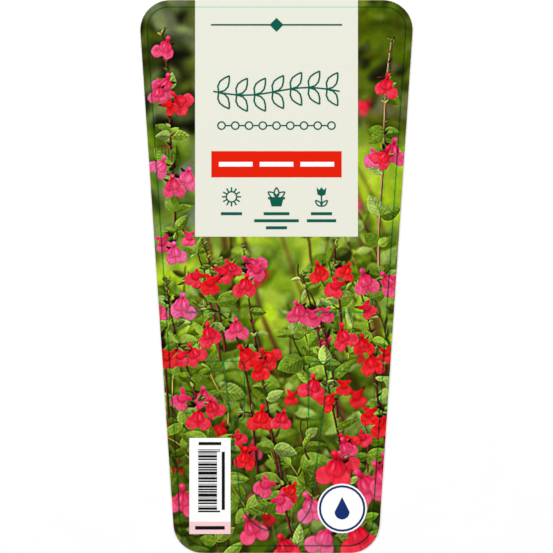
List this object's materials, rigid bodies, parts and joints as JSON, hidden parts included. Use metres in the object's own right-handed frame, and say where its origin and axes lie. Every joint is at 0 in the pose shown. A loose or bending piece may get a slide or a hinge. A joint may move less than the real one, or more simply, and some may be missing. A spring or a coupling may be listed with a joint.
{
  "type": "plant pot label",
  "caption": "Tapered die-cut plastic plant label with a rim-hook tongue, printed with flowering sage and a pale information panel.",
  "frame": {"origin": "centre of the sheet's bounding box, on its back face", "axes": "+Z out of the printed face, +Y towards the wide top edge, +X to the right of the print"},
  "size_m": [0.1162, 0.236, 0.0006],
  "materials": {
    "white_plastic": "white polypropylene sheet, satin on the front, matt on the back and edges",
    "picture_green": "printed ink under a satin varnish, soft-focus foliage green",
    "leaf_green": "printed ink under a satin varnish, stems and leaves",
    "panel_cream": "printed ink under a satin varnish, warm off-white",
    "forest_green": "printed ink under a satin varnish, dark green line work",
    "bar_red": "printed ink under a satin varnish, orange red",
    "blossom_red": "printed ink under a satin varnish, scarlet",
    "blossom_pink": "printed ink under a satin varnish, rose pink",
    "ink_white": "printed ink under a satin varnish, white",
    "strip_blush": "printed ink under a satin varnish, pale pink",
    "ink_black": "printed ink under a satin varnish, black",
    "ink_navy": "printed ink under a satin varnish, navy"
  },
  "bodies": {
    "root": {"label_sheet": "white_plastic", "picture_print": "picture_green", "info_panel": "panel_cream", "top_rule": "forest_green", "garland": "forest_green", "bead_line": "forest_green", "accent_bar": "bar_red", "sun_sign": "forest_green", "planter_sign": "forest_green", "tulip_sign": "forest_green", "price_patch": "ink_white", "price_strip": "strip_blush", "price_stripes": "ink_black", "badge": "ink_white", "badge_ring": "ink_navy", "badge_drop": "ink_navy", "patch_rule_1": "ink_black", "patch_rule_2": "ink_black", "strip_rule": "ink_black", "bar_dash_1": "ink_white", "bar_dash_2": "ink_white", "bar_dash_3": "ink_white", "sign_rule_1_1": "forest_green", "sign_rule_2_1": "forest_green", "sign_rule_2_2": "forest_green", "sign_rule_2_3": "forest_green", "sign_rule_3_1": "forest_green", "sign_rule_3_2": "forest_green", "sage_sprig_1": "leaf_green", "sage_sprig_2": "leaf_green", "sage_sprig_3": "leaf_green", "sage_sprig_4": "leaf_green", "sage_sprig_5": "leaf_green", "sage_sprig_6": "leaf_green", "sage_sprig_7": "leaf_green", "sage_sprig_8": "leaf_green", "red_blossoms_1": "blossom_red", "red_blossoms_2": "blossom_red", "red_blossoms_3": "blossom_red", "red_blossoms_4": "blossom_red", "red_blossoms_5": "blossom_red", "red_blossoms_6": "blossom_red", "red_blossoms_7": "blossom_red", "red_blossoms_8": "blossom_red", "red_blossoms_9": "blossom_red", "red_blossoms_10": "blossom_red", "red_blossoms_11": "blossom_red", "pink_blossoms_1": "blossom_pink", "pink_blossoms_2": "blossom_pink", "pink_blossoms_3": "blossom_pink", "pink_blossoms_4": "blossom_pink", "pink_blossoms_5": "blossom_pink", "pink_blossoms_6": "blossom_pink", "pink_blossoms_7": "blossom_pink", "pink_blossoms_8": "blossom_pink", "pink_blossoms_9": "blossom_pink", "pink_blossoms_10": "blossom_pink", "pink_blossoms_11": "blossom_pink", "pink_blossoms_12": "blossom_pink"}
  },
  "joints": []
}
